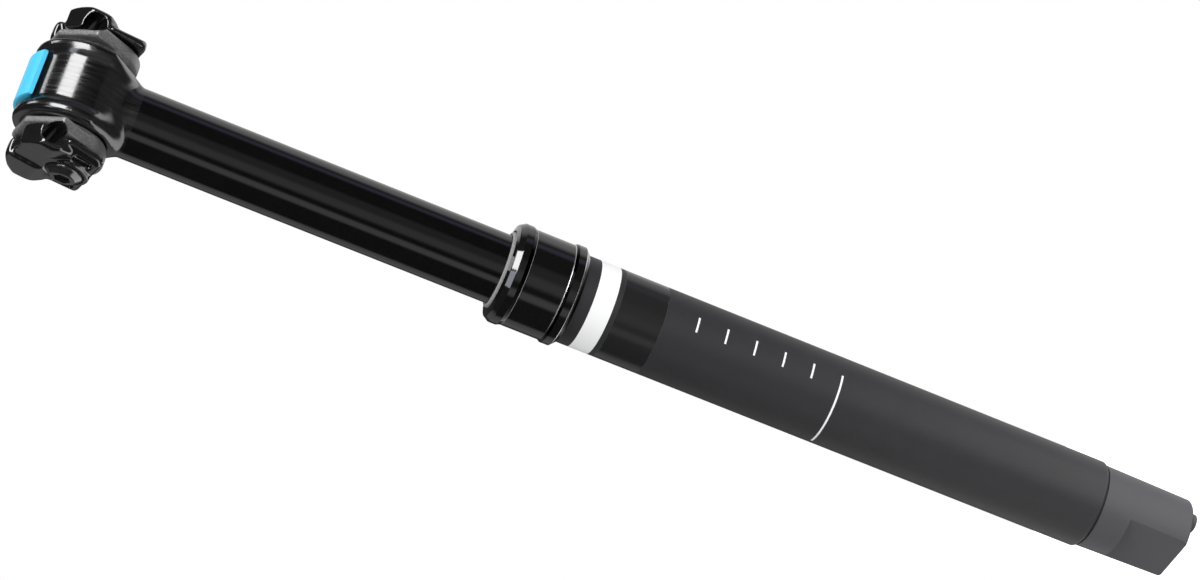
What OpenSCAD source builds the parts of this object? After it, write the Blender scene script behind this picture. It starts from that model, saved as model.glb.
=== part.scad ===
// Dropper seatpost: a post that slides down into a longer tube at the rider's command.
// Millimetres, +Z up the post to the saddle, -Y to the front of the bicycle, zero at the minimum-insertion line.

/* [Outer tube] */
// Outside diameter of the tube that the frame's seat tube grips
outer_od = 31.6; // [30.4:0.1:34.9]
// Wall of the outer tube
outer_wall = 1.8; // [1.6:0.1:2.2]
// Tube above the minimum-insertion line, up to its end inside the collar
tube_above = 115; // [100:1:130]
// Radius of the rounded edge at the lower end of the tube
end_round = 1; // [0.5:0.1:1.3]
// Width of the three key grooves in the bore
groove_w = 3.2; // [2.6:0.1:4]
// Depth of the key grooves
groove_d = 0.7; // [0.4:0.1:0.9]

/* [Sliding tube] */
// Outside diameter of the sliding tube
inner_od = 24.8; // [24.2:0.1:25.4]
// Wall of the sliding tube
inner_wall = 1.9; // [1.7:0.1:2.1]
// How far the saddle drops
travel = 120; // [80:5:150]
// Sliding tube that still shows when the post is right down
spare_tube = 13.5; // [10:0.1:25]
// Sliding tube inside the outer tube when the post is right up
overlap = 78; // [70:1:90]
// Length of each of the three keys
key_len = 14; // [8:1:16]
// Length of the bushing at the foot of the sliding tube
foot_bush_len = 11; // [7:1:12]

/* [Collar] */
// Collar below the tube's end
collar_under = 19.3; // [17:0.1:24]
// Collar above the tube's end
collar_over = 7; // [6.5:0.1:9]
// Wall of the collar at its waist
collar_wall = 1.8; // [1.6:0.05:2.2]
// How far the two rims stand out from the waist
rim_out = 0.6; // [0.3:0.05:1]
// Width of each rim
rim_w = 3; // [2:0.1:4]
// Height of the slanted shoulder at the mouth
shoulder_h = 2; // [1.4:0.1:2.6]
// Length of the bushing in the top of the outer tube
top_bush_len = 19; // [12:1:22]

/* [Head] */
// Height from the end of the sliding tube to the barrel's axis
neck_rise = 19.1; // [18.6:0.1:21]
// Radius of the barrel at its waist
waist_r = 17.3; // [17:0.1:18]
// Radius of the two beads at its ends
bead_r = 18.9; // [18.4:0.1:19.6]
// Half of the barrel's length
barrel_half = 14; // [13.6:0.1:15]
// Half of the waist's length
waist_half = 8.8; // [8:0.1:9.4]
// Radius of the cross bore that the clamp turns in
cross_r = 12; // [11.4:0.1:12.4]
// Depth of the plug that is bonded into the sliding tube
plug_len = 22; // [18:1:22]
// Height of the cover on top, over the barrel's waist
cover_h = 2.6; // [2.2:0.1:3.4]
// Half width of the cover across the post, front to back
cover_half = 10.8; // [9:0.1:12]

/* [Saddle clamp] */
// Diameter of the saddle rails
rail_d = 7; // [7:0.1:7.2]
// Distance between the saddle rails
rail_gap = 43; // [42.6:0.1:43.4]
// Height of the rails over the barrel's axis
rail_up = 6.6; // [6.2:0.1:7.2]
// Drop of the clamp bolt below the barrel's axis
bolt_down = 4; // [3.6:0.1:4.2]
// Tilt of the clamp in the picture, front down
clamp_tilt = 8; // [-10:1:15]
// Half of the inner clamps' length along the rails
inner_half = 19.6; // [18:0.1:20]
// Half of the outer clamps' length along the rails
outer_half = 16.9; // [16:0.1:19]
// Top of the clamp over the barrel's axis
clamp_top = 15.7; // [15:0.1:16.6]
// Bottom of the clamp under the barrel's axis
clamp_foot = 12.8; // [12.4:0.1:13.6]
// Thickness of the inner clamps at the rail
inner_face = 20.2; // [19.6:0.1:20.4]
// Outer face of the outer clamps
outer_face = 27; // [26.8:0.1:28]
// Diameter of the bolt
bolt_d = 7; // [6:0.1:7]
// Diameter of the bolt's head
bolt_head_d = 12.6; // [12:0.1:13]

/* [Release] */
// Length of the cap below the outer tube
cap_len = 34.2; // [33:0.2:40]
// Depth of the cap inside the outer tube
cap_insert = 16; // [12:1:20]
// Radius of the cap at its top
cap_r = 15; // [14.6:0.1:15.4]
// How much narrower the cap is at its end
cap_taper = 0.6; // [0.2:0.1:0.8]
// Distance across the two wrench flats
cap_flats = 20.6; // [20:0.2:23]
// Length of the wrench flats
flat_len = 22.8; // [18:0.1:24]
// Turn of the cap on the post
cap_turn = 21; // [0:1:45]
// Swing of the release lever
lever_swing = 22; // [10:1:24]
// Outer cable housing that the stop takes
housing_d = 4.2; // [4:0.1:5]

/* [Gas spring] */
// Diameter of the piston rod
rod_d = 10; // [9:0.5:11]
// Wall of the gas cylinder
gas_wall = 1.6; // [1.2:0.1:1.8]
// Length of the rod guide
guide_len = 14; // [12:1:18]
// Length of the piston
piston_len = 10; // [9:1:12]
// Gas space left over the floating piston when the post is down
gas_space = 12; // [9:1:14]

/* [Clearances] */
// Radial running clearance of sliding and turning fits
run_gap = 0.05; // [0.03:0.01:0.08]
// Radial gap where one piece is seated in another
seat_gap = 0.02; // [0.01:0.01:0.04]
// Gap between the gas cylinder and the sliding tube
tube_gap = 0.3; // [0.2:0.05:0.4]
// Free height left when the post is right down
bottom_gap = 1; // [0.5:0.1:2]

/* [Hidden] */
$fn = 96;
eps = 0.01;
outer_r = outer_od / 2;
bore_r = outer_r - outer_wall;
inner_r = inner_od / 2;
inner_bore = inner_r - inner_wall;
inner_foot = tube_above - overlap;
bumper_h = 3;
cap_top = inner_foot - travel - bottom_gap - bumper_h;
tube_foot = cap_top - cap_insert;
collar_foot = tube_above - collar_under;
collar_top = tube_above + collar_over;
thread_d = 0.25;
collar_bore = outer_r - thread_d + seat_gap;
collar_r = collar_bore + collar_wall;
rim_r = collar_r + rim_out;
mouth_r = bore_r + 0.4;
neck_z = collar_top + travel + spare_tube;
barrel_z = neck_z + neck_rise;
turn_r = inner_r + run_gap;
key_r = bore_r + groove_d - run_gap;
key_w = groove_w - 2 * run_gap;
key_sink = 0.8;
foot_bush_z = inner_foot + 2;
key_z = foot_bush_z + foot_bush_len + 2;
groove_top = tube_above - top_bush_len - 2;
clip_z = inner_foot + 5;
clip_h = 1.2;
clip_sink = 0.7;
gas_foot = clip_z + clip_h + eps;
gas_r = inner_bore - tube_gap;
gas_bore = gas_r - gas_wall;
rod_r = rod_d / 2;
pin_r = 2;
guide_top = gas_foot + guide_len;
piston_z = guide_top + 2.5;
gas_ratio = rod_r * rod_r / (gas_bore * gas_bore);
float_z = piston_z + piston_len + travel * (1 - gas_ratio) + 5;
float_len = 10;
plug_z = float_z + float_len + travel * gas_ratio + gas_space;
plug_h = 9;
plug_top = plug_z + plug_h;
stud_r = 3;
nut_h = 2.8;
floor_z = barrel_z - cross_r + 0.7;
cap_end = tube_foot - cap_len;
cap_end_r = cap_r - cap_taper;
cap_plug_r = bore_r - seat_gap;
floor_h = 5.4;
slot_w = 6.2;
slot_back = 9.5;
pivot_y = -4.8;
pivot_r = 1.5;
lever_w = slot_w - 0.6;
stop_y = 2 * pivot_y;
stop_r = 3.5;
stop_out = 2.2;
lever_r = 2.9;
nose_r = 2.2;
lever_lift = -pivot_y * sin(lever_swing);
pivot_z = cap_end + floor_h + lever_r + lever_lift + 5.5;
slot_top = pivot_z + nose_r + lever_lift + 3.4;
rod_foot = cap_top - 18;
ring_r = 0.9;
bolt_r = bolt_d / 2;
head_r = bolt_head_d / 2;
sleeve_r = bolt_r + 1.2;
hole_gap = 0.15;
seat_x = outer_face - 2.1;
rail_x = rail_gap / 2;
rail_r = rail_d / 2;
disc_r = cross_r + 2.6;
end_r = cross_r + 4.8;
disc_x = barrel_half + 0.1;
plate_x = disc_x + 1.5;
hook_x = rail_x - rail_r + 0.7;
hook_z = rail_up + rail_r + 0.2;
jaw_x = inner_face + 0.8;
foot_x = outer_face - 2.2;
low_r = cross_r + 3;
lobe_lean = 4;
strip_y = -7.6;
strip_w = 10.6;
strip_d = 1.1;
lobe_round = 2.8;
lip_h = 1.2;
cone_slope = 0.84;
cover_in = waist_r + seat_gap;
cover_r = waist_r + cover_h;
port_r = 5;

// One unit along a vector.
function unit(v) = v / norm(v);

// Points of the arc that rounds the corner b between a and c.
function corner(a, b, c, r, n) =
    let (u = unit(a - b), w = unit(c - b), half = acos(u * w) / 2, o = b + unit(u + w) * r / sin(half),
         s = b + u * r / tan(half) - o, e = b + w * r / tan(half) - o,
         from = atan2(s[1], s[0]), turn = (atan2(e[1], e[0]) - from + 540) % 360 - 180)
    [for (i = [0:n]) o + r * [cos(from + turn * i / n), sin(from + turn * i / n)]];

// An outline whose points are [x, y, corner radius].
function rounded(p, n = 5) =
    [for (i = [0:len(p) - 1])
        let (k = len(p), a = p[(i + k - 1) % k], b = p[i], c = p[(i + 1) % k])
        each b[2] > 0 ? corner([a[0], a[1]], [b[0], b[1]], [c[0], c[1]], b[2], n) : [[b[0], b[1]]]];

// A ring about Z from radius r1 out to r2, of height h on z.
module ring(r1, r2, z, h) {
    translate([0, 0, z]) rotate_extrude() translate([r1, 0]) square([r2 - r1, h]);
}

// A round cord of radius c bent to a ring of radius r about Z at height z.
module cord(r, c, z) {
    translate([0, 0, z]) rotate_extrude() translate([r, 0]) circle(c);
}

// A round bar about X from x to x + h.
module bar_x(r, x, h) {
    translate([x, 0, 0]) rotate([0, 90, 0]) cylinder(r = r, h = h);
}

// An outline in the Y-Z plane, carried along X from x to x + h.
module side_plate(points, x, h) {
    translate([x, 0, 0]) rotate([90, 0, 90]) linear_extrude(h) polygon(points);
}

// An outline in the X-Z plane, carried along Y, half the length each way.
module front_plate(points, half) {
    rotate([90, 0, 0]) linear_extrude(2 * half, center = true) polygon(points);
}

// Moves pieces made at the barrel's axis to their place, tilted as the clamp is.
module at_clamp() {
    translate([0, 0, barrel_z]) rotate([clamp_tilt, 0, 0]) children();
}

// Moves pieces of the release cap to the turn of the cap.
module at_cap() {
    rotate([0, 0, cap_turn]) children();
}

// A long tube with three key grooves in its bore, a thread for the collar and a round edge at its foot.
module outer_tube() {
    color([0.13, 0.13, 0.14]) difference() {
        rotate_extrude() polygon(rounded([
            [bore_r, tube_foot, 0], [outer_r, tube_foot, end_round], [outer_r, collar_foot, 0],
            [outer_r - thread_d, collar_foot, 0], [outer_r - thread_d, tube_above, 0], [bore_r, tube_above, 0]]));
        for (a = [30, 150, 270]) rotate([0, 0, a])
            translate([bore_r - 1, -groove_w / 2, cap_top + 1])
                cube([1 + groove_d, groove_w, groove_top - cap_top - 1]);
    }
}

// The collar screwed on the top of the tube: two rims, a waist, a slanted shoulder at the mouth.
module collar() {
    color([0.05, 0.05, 0.05]) rotate_extrude() difference() {
        polygon(rounded([
            [mouth_r, collar_foot, 0], [outer_r + 0.35, collar_foot, 0], [rim_r, collar_foot + 1.7, 0.3],
            [rim_r, collar_foot + 1.7 + rim_w, 0.25], [collar_r, collar_foot + 2.6 + rim_w, 0.3],
            [collar_r, collar_top - 3.5 - rim_w, 0.3], [rim_r, collar_top - 2.1 - rim_w, 0.3],
            [rim_r, collar_top - 0.6 - shoulder_h, 0.6], [rim_r - 1.2, collar_top - 0.6, 0.5],
            [mouth_r, collar_top, 0]]));
        translate([0, collar_foot - 1]) square([collar_bore, collar_under + 1 + eps]);
    }
}

// The scraper in the collar's mouth, with a lip that leans to the sliding tube.
module wiper_seal() {
    color([0.3, 0.3, 0.31]) rotate_extrude() polygon([
        [turn_r + 0.3, tube_above + 2.9], [mouth_r - seat_gap, tube_above + 2.9],
        [mouth_r - seat_gap, collar_top - 1.2], [turn_r + 1.4, collar_top - 0.9], [turn_r + 1.2, collar_top + 0.5],
        [turn_r + 0.6, collar_top + 0.9], [turn_r, collar_top + 0.6], [turn_r, collar_top - 0.6],
        [turn_r + 0.5, collar_top - 2]]);
}

// The oiled foam ring under the scraper.
module foam_ring() {
    color([0.75, 0.72, 0.6]) ring(turn_r, mouth_r - seat_gap, tube_above + eps, 2.8);
}

// The bushing that guides the sliding tube at the top of the outer tube.
module top_bushing() {
    color([0.2, 0.2, 0.2]) ring(turn_r, bore_r - seat_gap, tube_above - top_bush_len, top_bush_len);
}

// The rubber ring that the sliding tube lands on.
module bottom_bumper() {
    color([0.08, 0.08, 0.08]) ring(inner_bore, bore_r - 0.3, cap_top, bumper_h);
}

// The turned shape of the cap: a tapered body, a narrow neck at the tube, a plug with a groove for its ring.
module cap_turning() {
    rotate_extrude() polygon(rounded([
        [0, cap_end, 0], [cap_end_r, cap_end, 1], [cap_r, tube_foot - 0.5, 0.2],
        [cap_r - 0.5, tube_foot - 0.5, 0], [cap_r - 0.5, tube_foot, 0], [cap_plug_r, tube_foot, 0],
        [cap_plug_r, cap_top - 5, 0], [cap_plug_r - 2 * ring_r, cap_top - 5, 0],
        [cap_plug_r - 2 * ring_r, cap_top - 3, 0], [cap_plug_r, cap_top - 3, 0], [cap_plug_r, cap_top, 0],
        [0, cap_top, 0]]));
}

// The cap in the foot of the tube, with two wrench flats and a slot for the lever.
module release_cap() {
    color([0.35, 0.35, 0.36]) at_cap() difference() {
        cap_turning();
        for (s = [-1, 1]) translate([s * (cap_flats / 2 + 10), 0, cap_end + flat_len / 2 - 1])
            cube([20, 40, flat_len + 2], center = true);
        translate([-slot_w / 2, stop_y - lever_r - 0.4, cap_end + floor_h])
            cube([slot_w, 40, slot_top - cap_end - floor_h]);
        translate([0, 0, rod_foot]) cylinder(r = rod_r + seat_gap, h = 40);
        translate([0, 0, slot_top - 1]) cylinder(r = pin_r + run_gap, h = 30);
        translate([0, stop_y, cap_end - 1]) cylinder(r = stop_r - 0.6 + seat_gap, h = floor_h + 2);
        translate([0, pivot_y, pivot_z]) bar_x(pivot_r + seat_gap, -cap_flats / 2 + 2.4, 40);
    }
}

// The block that closes the lever's slot at the back of the cap.
module slot_cover() {
    color([0.33, 0.33, 0.34]) at_cap() intersection() {
        cap_turning();
        translate([-slot_w / 2 + seat_gap, slot_back, cap_end + floor_h + seat_gap])
            cube([slot_w - 2 * seat_gap, 20, slot_top - cap_end - floor_h - 2 * seat_gap]);
    }
}

// The sealing ring in the cap's plug.
module cap_ring() {
    color([0.06, 0.06, 0.06]) cord(cap_plug_r - ring_r + 0.1 - 2 * seat_gap, ring_r - 0.1, cap_top - 4);
}

// The ferrule that the cable's outer housing seats in.
module cable_stop() {
    color([0.1, 0.1, 0.1]) at_cap() translate([0, stop_y, 0]) difference() {
        union() {
            rotate_extrude() polygon(rounded([
                [0, cap_end - stop_out, 0], [stop_r, cap_end - stop_out, 0.8], [stop_r, cap_end, 0], [0, cap_end, 0]]));
            translate([0, 0, cap_end - eps]) cylinder(r = stop_r - 0.6, h = floor_h);
        }
        translate([0, 0, cap_end - stop_out - 1]) cylinder(r = housing_d / 2, h = 1 + stop_out + floor_h - 1.6);
        translate([0, 0, cap_end - stop_out - 1]) cylinder(r = 0.9, h = 20);
    }
}

// The pin that the release lever rocks on.
module lever_pin() {
    color([0.6, 0.6, 0.6]) at_cap() translate([0, pivot_y, pivot_z])
        bar_x(pivot_r, -cap_flats / 2 + 2.4 + eps, cap_flats - 2.8);
}

// The hollow rod that stands on the cap.
module piston_rod() {
    color([0.7, 0.7, 0.72]) ring(pin_r + run_gap, rod_r, rod_foot, piston_z + 3 - rod_foot);
}

// The nut that locks the rod in the cap.
module rod_nut() {
    color([0.6, 0.6, 0.6]) translate([0, 0, cap_top + eps]) difference() {
        cylinder(r = rod_r + 3.6, h = bumper_h - 0.4, $fn = 6);
        translate([0, 0, -1]) cylinder(r = rod_r + seat_gap, h = 10);
    }
}

// The piston on the rod, with the valve's chamber and a groove for its ring.
module piston() {
    color([0.75, 0.75, 0.76]) difference() {
        translate([0, 0, piston_z]) cylinder(r = gas_bore - run_gap, h = piston_len);
        translate([0, 0, piston_z - 1]) cylinder(r = rod_r + seat_gap, h = 4 + eps);
        translate([0, 0, piston_z - 1]) cylinder(r = pin_r + run_gap, h = 40);
        translate([0, 0, piston_z + 4.5]) cylinder(r = pin_r + 1.2, h = 40);
        ring(gas_bore - 1.7, gas_bore + 1, piston_z + piston_len / 2 - 1, 2);
    }
}

// The sealing ring of the piston.
module piston_ring() {
    color([0.06, 0.06, 0.06])
        cord(gas_bore - ring_r + 0.1 - 2 * run_gap, ring_r - 0.15, piston_z + piston_len / 2);
}

// The tube that slides, with pockets for the keys and a groove for the clip.
module sliding_tube() {
    color([0.03, 0.03, 0.04]) difference() {
        ring(inner_bore, inner_r, inner_foot, neck_z - inner_foot);
        for (a = [30, 150, 270]) rotate([0, 0, a])
            translate([inner_r - key_sink, -key_w / 2, key_z]) cube([4, key_w, key_len]);
        ring(inner_bore - 1, inner_bore + clip_sink, clip_z, clip_h);
    }
}

// The turned shape that trims the barrel's underside down to the sliding tube: a fillet, then a cone.
module neck_turning() {
    cone_z = neck_z + 1.5;
    wide = bead_r + 6;
    rotate_extrude() polygon(rounded([
        [0, neck_z, 0], [inner_r, neck_z, 0], [inner_r, cone_z, 3.5],
        [wide, cone_z + (wide - inner_r) / cone_slope, 0], [wide, barrel_z + 30, 0], [0, barrel_z + 30, 0]]));
}

// Half of the barrel's profile: the waist, a sharp line, the slope up to the bead, the rounded end.
module barrel_half_profile() {
    polygon(rounded([
        [cross_r, -eps, 0], [waist_r, -eps, 0], [waist_r, waist_half - 0.5, 0.4], [waist_r + 0.5, waist_half, 0.15],
        [bead_r - 0.2, waist_half + 2, 1], [bead_r, barrel_half - 1.1, 0.8], [end_r + 0.9, barrel_half - 0.2, 0.6],
        [end_r, barrel_half, 0], [cross_r, barrel_half, 0]]));
}

// The forged head: a barrel across the post, its neck, and the plug bonded into the sliding tube.
module head() {
    color([0.04, 0.04, 0.04]) difference() {
        union() {
            translate([0, 0, neck_z]) cylinder(r = inner_r, h = neck_rise - cross_r + 2);
            translate([0, 0, neck_z - plug_len]) cylinder(r = inner_bore - seat_gap, h = plug_len + 1);
            intersection() {
                translate([0, 0, barrel_z]) rotate([0, 90, 0]) rotate_extrude() {
                    barrel_half_profile();
                    mirror([0, 1]) barrel_half_profile();
                }
                neck_turning();
            }
        }
        translate([0, 0, barrel_z]) bar_x(cross_r, -barrel_half - 1, 2 * barrel_half + 2);
        translate([0, 0, neck_z - plug_len - 1]) cylinder(r = stud_r + seat_gap, h = 60);
        translate([0, 0, floor_z]) cylinder(r = 6.1, h = 8);
        translate([0, 0, barrel_z]) cylinder(r = port_r, h = 40);
    }
}

// The moulded cover clipped on top of the barrel, over the port to the gas spring's nut.
module top_cover() {
    color([0.1, 0.65, 0.85]) translate([0, 0, barrel_z]) difference() {
        union() {
            intersection() {
                rotate([0, 90, 0]) rotate_extrude() polygon(rounded([
                    [cover_r - lip_h, -waist_half + 0.3, 0], [cover_r, -waist_half + 0.3, 0.5],
                    [cover_r, waist_half - 0.3, 0.5], [cover_r - lip_h, waist_half - 0.3, 0]]));
                linear_extrude(40) polygon(rounded([
                    [-waist_half, -cover_half, 1.2], [waist_half, -cover_half, 1.2],
                    [waist_half, cover_half, 1.2], [-waist_half, cover_half, 1.2]]));
            }
            intersection() {
                rotate([0, 90, 0]) rotate_extrude() translate([cover_in, -waist_half + 0.6])
                    square([cover_r - lip_h / 2 - cover_in, 2 * waist_half - 1.2]);
                translate([-20, -cover_half + 3, 0]) cube([40, 2 * cover_half - 6, 40]);
            }
            translate([0, 0, cross_r + 0.9]) cylinder(r = port_r - run_gap, h = cover_in - cross_r);
        }
        translate([0, 0, cross_r]) cylinder(r = port_r - 1.5, h = cover_in - cross_r - 0.4);
    }
}

// The three keys that stop the sliding tube from turning.
module keys() {
    color([0.8, 0.65, 0.3]) for (a = [30, 150, 270]) rotate([0, 0, a])
        translate([inner_r - key_sink + eps, -key_w / 2 + eps, key_z + eps])
            cube([key_r - inner_r + key_sink, key_w - 2 * eps, key_len - 2 * eps]);
}

// The bushing at the foot of the sliding tube.
module foot_bushing() {
    color([0.2, 0.2, 0.2]) ring(inner_r + seat_gap, bore_r - run_gap, foot_bush_z, foot_bush_len);
}

// The gas cylinder inside the sliding tube.
module gas_cylinder() {
    color([0.6, 0.6, 0.62]) ring(gas_bore, gas_r, gas_foot, plug_top - gas_foot);
}

// The plug that closes the gas cylinder, with the stud that holds it to the head.
module gas_plug() {
    color([0.65, 0.65, 0.67]) {
        translate([0, 0, plug_z]) cylinder(r = gas_bore - seat_gap, h = plug_h);
        translate([0, 0, plug_top - eps]) cylinder(r = stud_r, h = floor_z + nut_h - plug_top);
    }
}

// The nut on the stud, at the floor of the cross bore.
module gas_nut() {
    color([0.6, 0.6, 0.6]) translate([0, 0, floor_z + eps]) difference() {
        cylinder(r = 5.7, h = nut_h, $fn = 6);
        translate([0, 0, -1]) cylinder(r = stud_r + seat_gap, h = 10);
    }
}

// The guide of the rod at the foot of the gas cylinder.
module rod_guide() {
    color([0.7, 0.7, 0.72]) difference() {
        ring(rod_r + run_gap, gas_bore - seat_gap, gas_foot, guide_len);
        ring(rod_r - 1, rod_r + 1.7, gas_foot + guide_len - 5, 2);
    }
}

// The sealing ring of the rod.
module rod_seal() {
    color([0.06, 0.06, 0.06]) cord(rod_r + ring_r - 0.1 + 2 * run_gap, ring_r - 0.15, gas_foot + guide_len - 4);
}

// The open spring clip under the gas cylinder.
module cylinder_clip() {
    color([0.5, 0.5, 0.5]) difference() {
        ring(inner_bore - 1.6, inner_bore + clip_sink - seat_gap, clip_z + eps, clip_h - 2 * eps);
        translate([0, -2, clip_z - 1]) cube([30, 4, 4]);
    }
}

// The piston between oil and gas.
module floating_piston() {
    color([0.75, 0.75, 0.76]) difference() {
        translate([0, 0, float_z]) cylinder(r = gas_bore - run_gap, h = float_len);
        translate([0, 0, float_z + 3]) cylinder(r = gas_bore - 3.4, h = float_len);
        ring(gas_bore - 1.7, gas_bore + 1, float_z + float_len / 2 - 1, 2);
    }
}

// The sealing ring of the floating piston.
module floating_ring() {
    color([0.06, 0.06, 0.06])
        cord(gas_bore - ring_r + 0.1 - 2 * run_gap, ring_r - 0.15, float_z + float_len / 2);
}

// The rocker that the cable pulls: its nose lifts the release pin.
module release_lever() {
    color([0.55, 0.55, 0.57]) at_cap() translate([0, pivot_y, pivot_z]) difference() {
        union() {
            bar_x(lever_r, -lever_w / 2, lever_w);
            translate([0, stop_y - pivot_y, 0]) bar_x(lever_r, -lever_w / 2, lever_w);
            translate([0, -pivot_y, 0]) bar_x(nose_r, -lever_w / 2, lever_w);
            translate([-lever_w / 2, stop_y - pivot_y, -nose_r]) cube([lever_w, -stop_y, 2 * nose_r]);
        }
        bar_x(pivot_r + run_gap, -lever_w, 2 * lever_w);
        translate([0, stop_y - pivot_y, 0]) bar_x(1.8 + seat_gap, -lever_w, 2 * lever_w);
        translate([0, stop_y - pivot_y, -10]) cylinder(r = 0.9, h = 20);
    }
}

// The barrel that clamps the cable's end.
module cable_barrel() {
    color([0.75, 0.62, 0.3]) at_cap() translate([0, stop_y, pivot_z]) difference() {
        bar_x(1.8, -lever_w / 2, lever_w);
        translate([0, 0, -10]) cylinder(r = 0.9, h = 20);
    }
}

// The long pin in the rod that opens the valve.
module release_pin() {
    color([0.7, 0.7, 0.7]) {
        translate([0, 0, pivot_z + nose_r + 0.1])
            cylinder(r = pin_r, h = piston_z + 5 - pivot_z - nose_r - 0.1);
        translate([0, 0, piston_z + 5 - eps]) cylinder(r = pin_r + 0.9, h = 1.5);
    }
}

// The upper outline of an inner clamp seen from the side: a low roof with corners at the rails.
function inner_outline() = rounded([
    [-7.4, clamp_top, 1.2], [-inner_half, rail_up - 1.2, 0.7], [-low_r * 0.86, -low_r * 0.51, 0],
    [low_r * 0.86, -low_r * 0.51, 0], [inner_half, rail_up - 1.2, 0.7], [7.4, clamp_top, 1.2]]);

// An inner clamp of the right-hand side: a spigot in the cross bore, a disc, a plate with half of the rail's groove.
module inner_clamp(hole_r) {
    difference() {
        union() {
            bar_x(cross_r - run_gap, 6.6, disc_x - 6.6 + eps);
            bar_x(disc_r, disc_x, plate_x - disc_x + eps);
            bar_x(low_r, plate_x, inner_face - plate_x);
            side_plate(inner_outline(), plate_x, inner_face - plate_x);
        }
        translate([rail_x, 0, rail_up]) rotate([90, 0, 0]) cylinder(r = rail_r, h = 90, center = true);
        translate([hook_x - 0.5, -40, rail_up]) cube([30, 80, 30]);
        translate([0, 0, -bolt_down]) bar_x(hole_r, 0, 60);
    }
}

// The upper outline of an outer clamp seen from the side.
function lobe_outline() = rounded([
    [-6.4, clamp_top, 3], [-12.6, clamp_top - 3, 6], [-outer_half, rail_up + 2, 2.6],
    [-outer_half, rail_up - 3.8, 1.4], [-outer_half + 2.6, -1, 0], [outer_half - 2.6, -1, 0],
    [outer_half, rail_up - 3.8, 1.4], [outer_half, rail_up + 2, 2.6], [12.6, clamp_top - 3, 6],
    [6.4, clamp_top, 3]]);

// The upper part of an outer clamp seen from the front: the hook over the rail and the lobe beside it.
function lobe_section() = rounded([
    [hook_x, hook_z, 0.4], [hook_x, clamp_top - 1.2, 0.8], [hook_x + 1.8, clamp_top, 1],
    [outer_face - 0.8, clamp_top, 2.2], [outer_face, 4.6, 2.5], [outer_face - 2, -1, 0],
    [jaw_x, -1, 0], [jaw_x, rail_up, 0], [rail_x, hook_z, 0]]);

// An outer clamp's upper part seen from above, with round outer corners.
function lobe_plan() = rounded([
    [10, -outer_half - eps, 0], [outer_face + eps, -outer_half - eps, lobe_round],
    [outer_face + eps, outer_half + eps, lobe_round], [10, outer_half + eps, 0]]);

// The foot of an outer clamp seen from the side.
function foot_outline() = rounded([
    [-outer_half - 0.1, 2, 0], [-outer_half + 2.2, -clamp_foot, 3.6], [outer_half - 2.2, -clamp_foot, 3.6],
    [outer_half + 0.1, 2, 0]]);

// The foot of an outer clamp seen from above, with slanted corners.
function foot_plan() = rounded([
    [jaw_x, -outer_half, 0], [jaw_x + 1.3, -outer_half, 0.8], [foot_x, -outer_half + 4.6, 2.5],
    [foot_x, outer_half - 4.6, 2.5], [jaw_x + 1.3, outer_half, 0.8], [jaw_x, outer_half, 0]]);

// The foot of an outer clamp seen from the front, round at its lower edge.
function foot_section() = rounded([
    [jaw_x, -clamp_foot, 0], [foot_x + eps, -clamp_foot, 2.4], [foot_x + eps, 2, 0], [jaw_x, 2, 0]]);

// An outer clamp of the right-hand side: hook, two lobes, the strip between them, foot, bolt boss, two pockets.
module outer_clamp(hole_r) {
    difference() {
        union() {
            difference() {
                intersection() {
                    side_plate(lobe_outline(), 10, 30);
                    front_plate(lobe_section(), 30);
                    translate([0, 0, -2]) linear_extrude(clamp_top + 4) polygon(lobe_plan());
                }
                translate([outer_face - strip_d, strip_y, 4.6]) rotate([0, -lobe_lean, 0])
                    translate([0, 0, -8]) cube([20, strip_w, 40]);
                translate([outer_face - 2.4, strip_y, clamp_top - 2.2]) rotate([0, 60, 0])
                    translate([-20, 0, -20]) cube([20, strip_w, 40]);
            }
            intersection() {
                side_plate(foot_outline(), 10, 30);
                front_plate(foot_section(), 30);
                translate([0, 0, -clamp_foot]) linear_extrude(clamp_foot + 1) polygon(foot_plan());
            }
            translate([0, 0, -bolt_down]) bar_x(8.3, jaw_x, outer_face - 0.9 - jaw_x);
        }
        translate([rail_x, 0, rail_up]) rotate([90, 0, 0]) cylinder(r = rail_r, h = 90, center = true);
        translate([0, 0, -bolt_down]) bar_x(hole_r, 0, 60);
        translate([0, 0, -bolt_down]) bar_x(head_r + 0.5, seat_x, 60);
        for (s = [0, 1]) mirror([0, s, 0])
            side_plate(rounded([[8, -10, 0.6], [12.2, -10, 0.6], [13.4, -3, 0.6], [9, -3, 0.6]]),
                foot_x - 2.4, 20);
    }
}

// The left-hand inner clamp.
module inner_clamp_left() {
    color([0.06, 0.06, 0.06]) at_clamp() mirror([1, 0, 0]) inner_clamp(bolt_r + hole_gap);
}

// The right-hand inner clamp.
module inner_clamp_right() {
    color([0.06, 0.06, 0.06]) at_clamp() inner_clamp(sleeve_r + hole_gap);
}

// The left-hand outer clamp.
module outer_clamp_left() {
    color([0.06, 0.06, 0.06]) at_clamp() mirror([1, 0, 0]) outer_clamp(bolt_r + hole_gap);
}

// The right-hand outer clamp.
module outer_clamp_right() {
    color([0.06, 0.06, 0.06]) at_clamp() outer_clamp(sleeve_r + hole_gap);
}

// The domed head shared by the bolt and its nut, with a hexagon socket.
module domed_head() {
    difference() {
        rotate([0, 90, 0]) rotate_extrude() polygon(rounded([
            [0, 0, 0], [head_r, 0, 0], [head_r, 1.3, 1], [head_r - 2.2, 3.1, 1.4], [0, 3.1, 0]]));
        translate([1, 0, 0]) rotate([0, 90, 0]) cylinder(r = 3.1, h = 10, $fn = 6);
    }
}

// The bolt across the head that draws the clamps together.
module clamp_bolt() {
    color([0.1, 0.1, 0.1]) at_clamp() mirror([1, 0, 0]) translate([0, 0, -bolt_down]) {
        translate([seat_x, 0, 0]) domed_head();
        bar_x(bolt_r, -seat_x + 6, 2 * seat_x - 6 + eps);
    }
}

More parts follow.
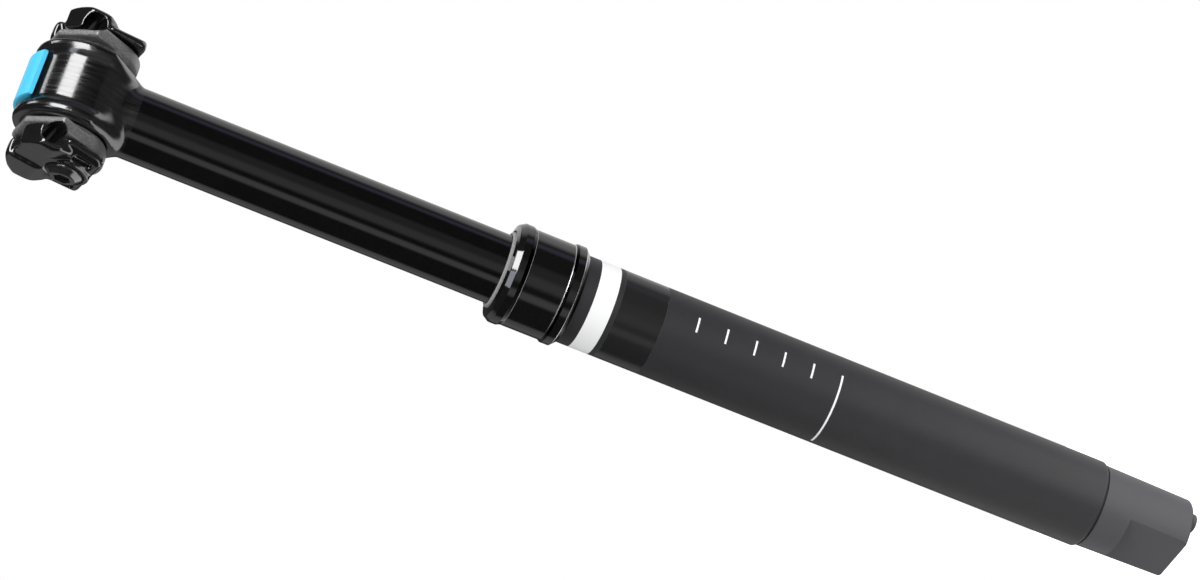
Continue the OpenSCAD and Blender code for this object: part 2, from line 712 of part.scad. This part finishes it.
// The sleeve nut on the far end of the bolt.
module sleeve_nut() {
    color([0.1, 0.1, 0.1]) at_clamp() translate([0, 0, -bolt_down]) difference() {
        union() {
            translate([seat_x, 0, 0]) domed_head();
            bar_x(sleeve_r, seat_x - 15, 15 + eps);
        }
        bar_x(bolt_r + run_gap, seat_x - 20, 16);
    }
}

outer_tube();
collar();
wiper_seal();
foam_ring();
top_bushing();
bottom_bumper();
release_cap();
slot_cover();
cap_ring();
cable_stop();
lever_pin();
piston_rod();
rod_nut();
piston();
piston_ring();
sliding_tube();
head();
top_cover();
keys();
foot_bushing();
gas_cylinder();
gas_plug();
gas_nut();
rod_guide();
rod_seal();
cylinder_clip();
floating_piston();
floating_ring();
release_lever();
cable_barrel();
release_pin();
inner_clamp_left();
inner_clamp_right();
outer_clamp_left();
outer_clamp_right();
clamp_bolt();
sleeve_nut();
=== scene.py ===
import math

import bmesh
import bpy
import numpy as np
from mathutils import Matrix


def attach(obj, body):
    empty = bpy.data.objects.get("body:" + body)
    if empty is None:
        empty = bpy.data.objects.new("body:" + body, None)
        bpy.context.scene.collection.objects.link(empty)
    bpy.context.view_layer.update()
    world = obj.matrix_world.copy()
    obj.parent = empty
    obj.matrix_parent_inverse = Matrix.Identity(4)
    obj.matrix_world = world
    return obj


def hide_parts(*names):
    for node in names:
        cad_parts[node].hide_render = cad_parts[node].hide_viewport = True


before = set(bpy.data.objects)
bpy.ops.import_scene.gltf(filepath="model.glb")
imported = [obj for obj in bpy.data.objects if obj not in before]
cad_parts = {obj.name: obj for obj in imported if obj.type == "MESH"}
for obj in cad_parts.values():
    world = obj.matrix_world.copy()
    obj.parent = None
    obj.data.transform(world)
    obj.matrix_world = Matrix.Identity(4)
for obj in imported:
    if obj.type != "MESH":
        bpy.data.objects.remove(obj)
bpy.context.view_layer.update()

# Outer tube: the drawn aluminium tube that the frame's seat tube grips, anodised satin black.
# A white band and a gloss ring are printed round it under the collar, then five scale marks and
# the line that shows how deep it must stand in the frame.


class Wire:
    """A node's output that takes part in Python sums: each operator adds a Math node behind it."""

    def __init__(self, socket):
        self.socket = socket

    @classmethod
    def node(cls, tree, kind, settings=None, inputs=()):
        """Adds a node: its settings first, then its sockets' values or links, by name or in order.

        Gives the node's outputs, by their identifiers.
        """
        node = tree.nodes.new("ShaderNode" + kind)
        for key, value in (settings or {}).items():
            setattr(node, key, value)
        if not isinstance(inputs, dict):
            inputs = dict(zip((socket.identifier for socket in node.inputs), inputs))
        for socket in node.inputs:
            value = inputs.get(socket.identifier)
            if isinstance(value, Wire):
                tree.links.new(value.socket, socket)
            elif value is not None:
                socket.default_value = value
        return {socket.identifier: cls(socket) for socket in node.outputs}

    def then(self, kind, settings=None, inputs=()):
        """Adds a node to this wire's own tree."""
        return self.node(self.socket.id_data, kind, settings, inputs)

    def math(self, operation, *values):
        return self.then("Math", {"operation": operation}, (self, *values))["Value"]

    def __add__(self, other):
        return self.math("ADD", other)

    def __sub__(self, other):
        return self.math("SUBTRACT", other)

    def __mul__(self, other):
        if isinstance(other, tuple):
            return self.then("VectorMath", {"operation": "MULTIPLY"}, (self, other))["Vector"]
        return self.math("MULTIPLY", other)

    def __rsub__(self, other):
        return self * -1.0 + other

    def __abs__(self):
        return self.math("ABSOLUTE")

    __radd__ = __add__
    __rmul__ = __mul__

    def within(self, low, high):
        """One between the two values and nothing outside them."""
        return self.math("COMPARE", (low + high) / 2, (high - low) / 2)

    def rise(self, low, high):
        """A smooth step from nothing at low to one at high."""
        inputs = {"Value": self, "From Min": low, "From Max": high}
        return self.then("MapRange", {"interpolation_type": "SMOOTHSTEP"}, inputs)["Result"]

    def mix(self, first, second):
        """The colour that goes from first to second as this value goes from 0 to 1."""
        inputs = {"Factor_Float": self, "A_Color": first, "B_Color": second}
        return self.then("Mix", {"data_type": "RGBA"}, inputs)["Result_Color"]

    def spread(self, low, high):
        """The value that goes from low to high as this value goes from 0 to 1."""
        return self * (high - low) + low

    def noise(self, scale, detail=2.0):
        """Noise of that many spots to the metre, taken at this place."""
        return self.then("TexNoise", None, {"Vector": self, "Scale": scale, "Detail": detail})["Fac"]

    def bump(self, depth, strength):
        """The normal of a surface raised by this value times depth metres."""
        inputs = {"Strength": strength, "Distance": depth, "Height": self}
        return self.then("Bump", None, inputs)["Normal"]


class Finish:
    """A material's Principled shader and the object's own coordinates that its patterns read."""

    def __init__(self, name, **constants):
        self.material = bpy.data.materials.new(name)
        self.material.use_nodes = True
        self.tree = self.material.node_tree
        self.shader = self.tree.nodes["Principled BSDF"]
        self.set(**constants)
        self.place = Wire.node(self.tree, "TexCoord")["Object"]
        axes = self.place.then("SeparateXYZ", None, (self.place,))
        self.x, self.y, self.z = axes["X"], axes["Y"], axes["Z"]

    def set(self, **sockets):
        """Values or links for the shader's sockets, named as on the shader with underscores."""
        for key, value in sockets.items():
            socket = self.shader.inputs[key.replace("_", " ")]
            if isinstance(value, Wire):
                self.tree.links.new(value.socket, socket)
            else:
                socket.default_value = value

    def onto(self, *pieces):
        """Puts this finish on pieces: CAD nodes by name, or objects."""
        for piece in pieces:
            mesh = (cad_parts[piece] if isinstance(piece, str) else piece).data
            mesh.materials.clear()
            mesh.materials.append(self.material)


def grey(value):
    """A neutral colour of that brightness."""
    return (value, value, value, 1.0)


mm = 0.001
band_z = (83.8 * mm, 91.05 * mm)
ring_z = (65.8 * mm, 81.9 * mm)
mark_count = 5
mark_pitch = 10.8 * mm
mark_width = 0.7 * mm
mark_turn = (math.radians(18), math.radians(39))
line_turn = (math.radians(-72), math.radians(38))
print_turn = math.radians(25)


def bearing_of(x, y):
    """The angle about the post from the print's middle, towards the print's right."""
    across = x * math.cos(print_turn) - y * math.sin(print_turn)
    ahead = x * -math.sin(print_turn) - y * math.cos(print_turn)
    return across.math("ARCTAN2", ahead)


satin = Finish("matt_tube", IOR=1.70)
turn = bearing_of(satin.x, satin.y)
band = satin.z.within(*band_z)
ring = satin.z.within(*ring_z)
marks = (
    satin.z.math("PINGPONG", mark_pitch / 2).within(-mark_width / 2, mark_width / 2)
    * satin.z.within(mark_pitch / 2, (mark_count + 0.5) * mark_pitch)
    * turn.within(*mark_turn)
)
line = satin.z.within(-mark_width / 2, mark_width / 2) * turn.within(*line_turn)
ink = (band + marks + line).math("MINIMUM", 1.0)
bare = (1.0 - ring) * (1.0 - ink)
grain = satin.place.noise(2600.0, 3.0)
cloud = satin.place.noise(90.0)
ring_black, ring_roughness = grey(0.014), 0.20
ink_white, ink_roughness = grey(0.86), 0.35
anodised = (grain * 0.7 + cloud * 0.3).mix(grey(0.001), (0.016, 0.016, 0.021, 1.0))
satin.set(
    Base_Color=ink.mix(ring.mix(anodised, ring_black), ink_white),
    Roughness=bare * grain.spread(0.43, 0.55) + ring * ring_roughness + ink * ink_roughness,
    Normal=(grain * bare).bump(0.05 * mm, 0.7),
)
satin.onto("outer_tube")

# Collar: an aluminium ring screwed on the outer tube's turned-down top, polished and anodised gloss
# black. Its rims were skimmed bright after the anodising, in three fine lines, and the bevels beside
# these burnished black. The widest line also carries a painted highlight that fades out round the
# collar.

wide_skim = (101.18 * mm, 101.52 * mm)
foot_skim = (97.25 * mm, 97.45 * mm)
top_skim = (115.36 * mm, 115.50 * mm)
bevels = (95.6 * mm, 97.25 * mm), (100.2 * mm, 101.18 * mm), (115.5 * mm, 117.0 * mm)
wide_shine, foot_shine, top_shine = 0.96, 0.80, 0.64
wide_skim_painted_highlight_turn = (math.radians(-60), math.radians(20))
skim_bright, skim_roughness = grey(0.90), 0.28
gloss_black, gloss_ior = grey(0.004), 2.15

collar = Finish("gloss_collar", IOR=gloss_ior)
# Painted highlight: the wide skim line is full bright on the print's right, where the light falls, and
# fades to nothing towards its left.
painted_highlight_fade = bearing_of(collar.x, collar.y).rise(*wide_skim_painted_highlight_turn)
skims_and_painted_highlight = (
    collar.z.within(*wide_skim) * (painted_highlight_fade * wide_shine)
    + collar.z.within(*foot_skim) * foot_shine
    + collar.z.within(*top_skim) * top_shine
)
burnished = sum(collar.z.within(*bevel) for bevel in bevels)
peel = collar.place.noise(400.0)
collar.set(
    Base_Color=skims_and_painted_highlight.mix(gloss_black, skim_bright),
    Metallic=skims_and_painted_highlight + burnished,
    Roughness=peel.spread(0.05, 0.08) + skims_and_painted_highlight * skim_roughness,
    Normal=peel.bump(0.01 * mm, 0.3),
)
collar.onto("collar")

# Wiper seal: a moulded rubber ring pressed into the collar's mouth, whose lip scrapes the tube.
# Its rim carries the grey bloom that fresh rubber has.

seal = Finish("seal_grey", IOR=1.5)
bloom = seal.place.noise(1500.0, 4.0)
seal.set(
    Base_Color=bloom.mix(grey(0.12), grey(0.42)),
    Roughness=bloom.spread(0.30, 0.60),
    Normal=bloom.bump(0.1 * mm, 0.7),
)
seal.onto("wiper_seal")

# Foam ring and bushings: oiled open-cell foam under the seal, and two plastic sleeves that guide the
# sliding tube, one in the outer tube's top and one clipped round the sliding tube's own foot.

foam = Finish("foam", Roughness=0.9)
cells = foam.place.noise(1800.0, 5.0)
foam.set(
    Base_Color=cells.mix((0.38, 0.36, 0.27, 1.0), (0.74, 0.71, 0.60, 1.0)),
    Normal=cells.bump(0.3 * mm, 0.8),
)
foam.onto("foam_ring")

sleeve = Finish("bushing", IOR=1.45)
flow = sleeve.place.noise(250.0, 3.0)
sleeve.set(
    Base_Color=flow.mix(grey(0.055), grey(0.10)),
    Roughness=flow.spread(0.42, 0.57),
    Normal=flow.bump(0.05 * mm, 0.4),
)
sleeve.onto("top_bushing", "foot_bushing")

# Release cap: the turned aluminium plug that screws into the tube's foot, blasted and anodised
# grey, with two wrench flats milled on it, and the block that closes the lever's slot.

cap = Finish("cap_grey", IOR=1.70)
blast = cap.place.noise(1900.0, 3.0)
drift = cap.place.noise(60.0)
cap_dark, cap_pale = (0.037, 0.037, 0.043, 1.0), (0.058, 0.058, 0.067, 1.0)
cap.set(
    Base_Color=(blast * 0.5 + drift * 0.5).mix(cap_dark, cap_pale),
    Roughness=blast.spread(0.45, 0.60),
    Normal=blast.bump(0.05 * mm, 0.5),
)
cap.onto("release_cap", "slot_cover")

# Rubber rings and bumper: moulded black rubber. The rings are rolled into their grooves by hand,
# and the bumper sits at the tube's foot, where the sliding tube lands.

rubber = Finish("rubber_black", IOR=1.5)
skin = rubber.place.noise(900.0, 3.0)
rubber.set(
    Base_Color=skin.mix(grey(0.018), grey(0.04)),
    Roughness=skin.spread(0.50, 0.70),
    Normal=skin.bump(0.05 * mm, 0.5),
)
rubber.onto("bottom_bumper", "cap_ring", "piston_ring", "rod_seal", "floating_ring")

# Cable stop: a ferrule moulded in black plastic and pushed into the cap. The cable's housing ends
# in it, and the wire goes on to the release lever.

stop = Finish("stop_black", IOR=1.5)
spark = stop.place.noise(1200.0, 3.0)
stop.set(
    Base_Color=spark.mix(grey(0.045), grey(0.085)),
    Roughness=spark.spread(0.35, 0.50),
    Normal=spark.bump(0.04 * mm, 0.4),
)
stop.onto("cable_stop")

# Cartridge and rocker: the rod, nuts, clip, pins and rocker are ground steel. The cylinder, its plug,
# guide and pistons are turned from bare aluminium bar, so fine tool rings run round them.

steel = Finish("steel", Metallic=1.0)
ground = steel.place.noise(1300.0, 4.0)
steel.set(
    Base_Color=ground.mix(grey(0.42), grey(0.60)),
    Roughness=ground.spread(0.20, 0.35),
    Normal=ground.bump(0.01 * mm, 0.4),
)
steel.onto(
    "piston_rod", "rod_nut", "gas_nut", "cylinder_clip", "lever_pin", "release_lever", "release_pin"
)

tool_pitch = 0.24 * mm
turned = Finish("bare_alloy", Metallic=1.0)
rings = (turned.z * (2 * math.pi / tool_pitch)).math("SINE")
haze = turned.place.noise(120.0, 3.0)
turned.set(
    Base_Color=haze.mix((0.52, 0.52, 0.54, 1.0), (0.70, 0.70, 0.71, 1.0)),
    Roughness=haze.spread(0.22, 0.37),
    Normal=rings.bump(0.004 * mm, 0.5),
)
turned.onto("piston", "gas_cylinder", "gas_plug", "rod_guide", "floating_piston")

# Keys and cable barrel: small brass pieces, sawn from bar and tumbled. The keys keep the sliding
# tube from turning, and the barrel holds the wire in the lever.

brass = Finish("brass", Metallic=1.0)
tarnish = brass.place.noise(500.0, 3.0)
brass.set(
    Base_Color=tarnish.mix((0.55, 0.38, 0.13, 1.0), (0.78, 0.60, 0.28, 1.0)),
    Roughness=tarnish.spread(0.25, 0.45),
    Normal=tarnish.bump(0.02 * mm, 0.4),
)
brass.onto("keys", "cable_barrel")

# Sliding tube: drawn aluminium, ground true, then polished and anodised gloss black. The head's plug
# is bonded into its top.

slider = Finish("gloss_tube", IOR=gloss_ior)
ripple = slider.place.noise(220.0)
slider.set(
    Base_Color=ripple.mix(grey(0.0012), grey(0.0028)),
    Roughness=ripple.spread(0.07, 0.10),
    Normal=ripple.bump(0.01 * mm, 0.3),
)
slider.onto("sliding_tube")

# Head and outer clamps: aluminium forgings, turned and milled where they meet, then polished and
# anodised black. Tumbling before the polish has left every edge soft.

weld = 0.005 * mm
fine_voxel = 0.25 * mm
coarse_voxel = 0.36 * mm
neck_z = 255.5 * mm
neck_r = 12.4 * mm
neck_tuck = (-0.12 * mm, -5.0 * mm)
neck_foot, neck_foot_depth = 256.0 * mm, 3.0 * mm
neck_crown, neck_crown_depth = 269.0 * mm, 5.0 * mm
barrel_passes, corner_passes, jaw_passes = 20, 160, 40


def softened(node, body, voxel, passes):
    """A copy of a forging with soft edges, which stands for the CAD node.

    The welded solid is rebuilt on a grid of voxels. Then each point moves halfway to the mean of
    its neighbours, as many times as passes gives for its place, which rounds edges and fills
    corners and leaves flat faces as they are.
    """
    piece = bpy.data.objects.new(node + "_forging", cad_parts[node].data.copy())
    bpy.context.scene.collection.objects.link(piece)
    solid = bmesh.new()
    solid.from_mesh(piece.data)
    bmesh.ops.remove_doubles(solid, verts=solid.verts, dist=weld)
    for point in solid.verts:
        radius = math.hypot(point.co.x, point.co.y)
        if abs(point.co.z - neck_z) < weld and abs(radius - neck_r) < weld:
            point.co.xy *= 1 + neck_tuck[0] / radius
            point.co.z += neck_tuck[1]
    solid.to_mesh(piece.data)
    solid.free()
    grid = piece.modifiers.new("grid", "REMESH")
    grid.mode = "VOXEL"
    grid.voxel_size = voxel
    bpy.context.view_layer.update()
    mesh = bpy.data.meshes.new_from_object(piece.evaluated_get(bpy.context.evaluated_depsgraph_get()))
    piece.modifiers.clear()
    piece.data = mesh
    points = np.empty(3 * len(mesh.vertices))
    mesh.vertices.foreach_get("co", points)
    points = points.reshape(-1, 3)
    ends = np.empty(2 * len(mesh.edges), dtype=int)
    mesh.edges.foreach_get("vertices", ends)
    here, there = np.concatenate((ends.reshape(-1, 2), ends.reshape(-1, 2)[:, ::-1])).T
    count = np.bincount(here, minlength=len(points))
    turns = passes(*points.T)
    for turn in range(int(turns.max())):
        total = np.stack([np.bincount(here, points[there, axis], len(points)) for axis in range(3)], 1)
        points += (turns > turn)[:, None] * (total / count[:, None] - points) / 2
    mesh.vertices.foreach_set("co", points.ravel())
    mesh.update()
    mesh.shade_smooth()
    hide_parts(node)
    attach(piece, body)
    return piece


def evenly(times):
    """The same number of passes at every place."""
    return lambda x, y, z: np.full(x.shape, times)


def neck_passes(x, y, z):
    """Few passes on the barrel, none under the neck's foot, many round the neck's corner."""
    upper = np.clip((z - neck_foot) / neck_foot_depth, 0, 1)
    lower = np.clip((neck_crown - z) / neck_crown_depth, 0, 1)
    return barrel_passes * upper + corner_passes * upper * lower


forged = Finish("gloss_forging", IOR=gloss_ior)
skin_wave = forged.place.noise(300.0, 2.0)
forged.set(
    Base_Color=skin_wave.mix(grey(0.004), grey(0.008)),
    Roughness=skin_wave.spread(0.09, 0.15),
    Normal=skin_wave.bump(0.03 * mm, 0.25),
)
outer_clamps = (
    softened("outer_clamp_left", "left_jaw", fine_voxel, evenly(jaw_passes)),
    softened("outer_clamp_right", "right_jaw", fine_voxel, evenly(jaw_passes)),
)
forged.onto(*outer_clamps)

brushed = Finish("brushed_forging", IOR=gloss_ior)
streak = (brushed.place * (1500.0, 90.0, 90.0)).noise(1.0, 3.0).rise(0.35, 0.65)
brushed.set(
    Base_Color=streak.mix(grey(0.004), grey(0.008)),
    Roughness=streak.spread(0.13, 0.22),
    Normal=streak.bump(0.004 * mm, 0.5),
)
brushed.onto(softened("head", "inner_post", coarse_voxel, neck_passes))

# Inner clamps: forgings of the same alloy, shot-blasted and anodised thinly, so that their skin has
# a fine bright grain. The rail grooves were milled smooth after the blasting.

blasted = Finish("blasted_forging", IOR=gloss_ior)
shot = blasted.place.noise(2300.0, 2.0).rise(0.32, 0.68)
lean = math.radians(8)
rail_x, rail_up, barrel_z, groove_r = 21.5 * mm, 6.6 * mm, 274.6 * mm, 4.0 * mm
groove_black, groove_roughness = grey(0.006), 0.12
plate_passes = 24
aside = abs(blasted.x) - rail_x
above = (blasted.z - barrel_z) * math.cos(lean) - blasted.y * math.sin(lean) - rail_up
groove = (aside * aside + above * above).math("LESS_THAN", groove_r * groove_r)
blasted.set(
    Base_Color=groove.mix(shot.mix(grey(0.065), grey(0.21)), groove_black),
    Roughness=(1.0 - groove) * shot.spread(0.34, 0.46) + groove * groove_roughness,
    Normal=(shot * (1.0 - groove)).bump(0.03 * mm, 0.6),
)
blasted.onto(
    softened("inner_clamp_left", "cradle", fine_voxel, evenly(plate_passes)),
    softened("inner_clamp_right", "cradle", fine_voxel, evenly(plate_passes)),
)

# Top cover: a bright blue plastic moulding that clips over the barrel's crown, with a plug in the
# port under it.

cover = Finish("blue_cover", IOR=1.5)
pigment = cover.place.noise(700.0, 3.0)
cover.set(
    Base_Color=pigment.mix((0.062, 0.49, 0.74, 1.0), (0.082, 0.56, 0.82, 1.0)),
    Roughness=pigment.spread(0.28, 0.38),
    Normal=pigment.bump(0.03 * mm, 0.4),
)
cover.onto("top_cover")

# Clamp bolt and sleeve nut: forged steel with domed heads, blackened. They lie across the head and
# draw the outer clamps together.

bolt = Finish("bolt_black", IOR=2.35)
scale_skin = bolt.place.noise(800.0, 3.0)
bolt.set(
    Base_Color=scale_skin.mix(grey(0.008), grey(0.020)),
    Roughness=scale_skin.spread(0.12, 0.22),
    Normal=scale_skin.bump(0.03 * mm, 0.3),
)
bolt.onto("clamp_bolt", "sleeve_nut")

# Studio: white all round to the camera, and a dark room with pale sweeps and cards to the gloss
# pieces. Softboxes stand in front, overhead and at the side. The overhead one is flagged off from the
# outer clamps, and a fourth, low down, from all but the outer tube and the pieces at its foot.

camera = bpy.data.objects.new("camera", bpy.data.cameras.new("camera"))
camera.data.lens = 107.13
camera.data.sensor_width = 36.0
camera.location = (-0.506852, -1.086948, 0.311223)
camera.rotation_euler = [math.radians(a) for a in (63.2875, 65.9159, -49.9712)]
bpy.context.scene.collection.objects.link(camera)
bpy.context.scene.camera = camera
bpy.context.scene.view_settings.view_transform = "Standard"

aim = np.array((0.0, 0.0, 0.2))


def softbox(name, bearing, elevation, distance, width, height, radiance, tint=(1.0, 1.0, 1.0)):
    """An area lamp at that bearing from the print's middle and that height, facing the post."""
    a, e = math.radians(bearing) - print_turn, math.radians(elevation)
    back = np.array((math.sin(a) * math.cos(e), -math.cos(a) * math.cos(e), math.sin(e)))
    side = np.array((math.cos(a), math.sin(a), 0.0))
    lamp = bpy.data.lights.new(name, "AREA")
    lamp.shape = "RECTANGLE"
    lamp.size, lamp.size_y = width, height
    lamp.energy = radiance * math.pi * width * height
    lamp.color = tint
    box = bpy.data.objects.new(name, lamp)
    axes = Matrix((side, np.cross(back, side), back)).transposed().to_4x4()
    box.matrix_world = Matrix.Translation(aim + distance * back) @ axes
    box.visible_camera = False
    bpy.context.scene.collection.objects.link(box)
    return box


softbox("front_box", bearing=38, elevation=36, distance=1.5, width=1.3, height=0.86, radiance=6.5)
softbox(
    "side_box", bearing=-14, elevation=48, distance=1.5, width=0.84, height=0.35, radiance=1.8,
    tint=(0.84, 0.91, 1.0),
)
top_box = softbox(
    "top_box", bearing=132, elevation=66, distance=1.5, width=0.42, height=0.42, radiance=3.5
)
shaded = bpy.data.collections.new("top_box_shade")
for clamp in outer_clamps:
    shaded.objects.link(clamp)
for member in shaded.collection_objects:
    member.light_linking.link_state = "EXCLUDE"
top_box.light_linking.receiver_collection = shaded
low_box = softbox(
    "low_box", bearing=50, elevation=-56, distance=0.60, width=0.6, height=0.35, radiance=1.7
)
flagged = bpy.data.collections.new("low_box_reach")
for node in ("outer_tube", "release_cap", "slot_cover", "cable_stop"):
    flagged.objects.link(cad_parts[node])
low_box.light_linking.receiver_collection = flagged

floor_z = -0.62
floor_r = 1.6
floor_sides = 96
spokes = np.linspace(0, 2 * math.pi, floor_sides, endpoint=False)
edge = np.stack((floor_r * np.cos(spokes), floor_r * np.sin(spokes), np.full(spokes.shape, floor_z)), 1)
floor_mesh = bpy.data.meshes.new("floor")
floor_mesh.from_pydata(edge.tolist(), [], [list(range(floor_sides))])
floor = bpy.data.objects.new("floor", floor_mesh)
bpy.context.scene.collection.objects.link(floor)

black, white = grey(0.0), grey(1.0)
paper_diffuse, paper_in_gloss = grey(0.50), grey(0.05)
dim_r, lit_r = 0.346, 0.671


def looked_at(path):
    """One for a ray from the camera, straight or through glass."""
    return (path["Is Camera Ray"] + path["Is Transmission Ray"]).math("MINIMUM", 1.0)


paper = Finish("floor_paper", Roughness=0.9, Emission_Strength=1.25)
path = Wire.node(paper.tree, "LightPath")
turn = bearing_of(paper.x, paper.y) * (180 / math.pi)
far = (paper.x * paper.x + paper.y * paper.y).rise(dim_r * dim_r, lit_r * lit_r)
left_glow = 1.0 - abs(turn + 80).rise(60, 80)
right_glow = turn.rise(85, 105)
glow = path["Is Glossy Ray"] * far * (left_glow + right_glow)
paper.set(
    Base_Color=path["Is Glossy Ray"].mix(paper_diffuse, paper_in_gloss),
    Emission_Color=looked_at(path).mix(glow.mix(black, white), white),
)
floor_mesh.materials.append(paper.material)

world = bpy.data.worlds.new("studio")
world.use_nodes = True
bpy.context.scene.world = world
tree = world.node_tree
path = Wire.node(tree, "LightPath")
direction = Wire.node(tree, "TexCoord")["Generated"]
along = direction.then("SeparateXYZ", None, (direction,))
bearing = bearing_of(along["X"], along["Y"]) * (180 / math.pi)
room = grey(0.0175)
# Sweeps behind the post, on either side of it, then cards with soft edges in front and beside it.
for side, start, end, shade in (
    (1, 99, 121, 0.49),
    (1, 125, 170, 0.76),
    (-1, 107, 119, 0.25),
    (-1, 140, 160, 0.045),
):
    room = (bearing * side).rise(start, end).mix(room, grey(shade))
for middle, half, soft, shade in (
    (24, 16, 12, grey(0.08)),
    (3, 12, 14, grey(0.17)),
    (-36, 9, 10, grey(0.26)),
    (92, 7, 10, (0.13, 0.13, 0.19, 1.0)),
):
    card = 1.0 - abs(bearing - middle).rise(half - soft / 2, half + soft / 2)
    room = card.mix(room, shade)
ceiling = along["Z"].rise(0.35, 0.55)
room = ceiling.mix(room, grey(0.025))
height = along["Z"].rise(-0.2, 0.8)
left_fill = 1.0 - abs(bearing + 75).rise(30, 75)
sky = left_fill.mix(height.mix(grey(0.21), grey(0.60)), white)
shown = path["Is Glossy Ray"].mix(looked_at(path).mix(sky, white), room)
tree.links.new(shown.socket, tree.nodes["Background"].inputs["Color"])
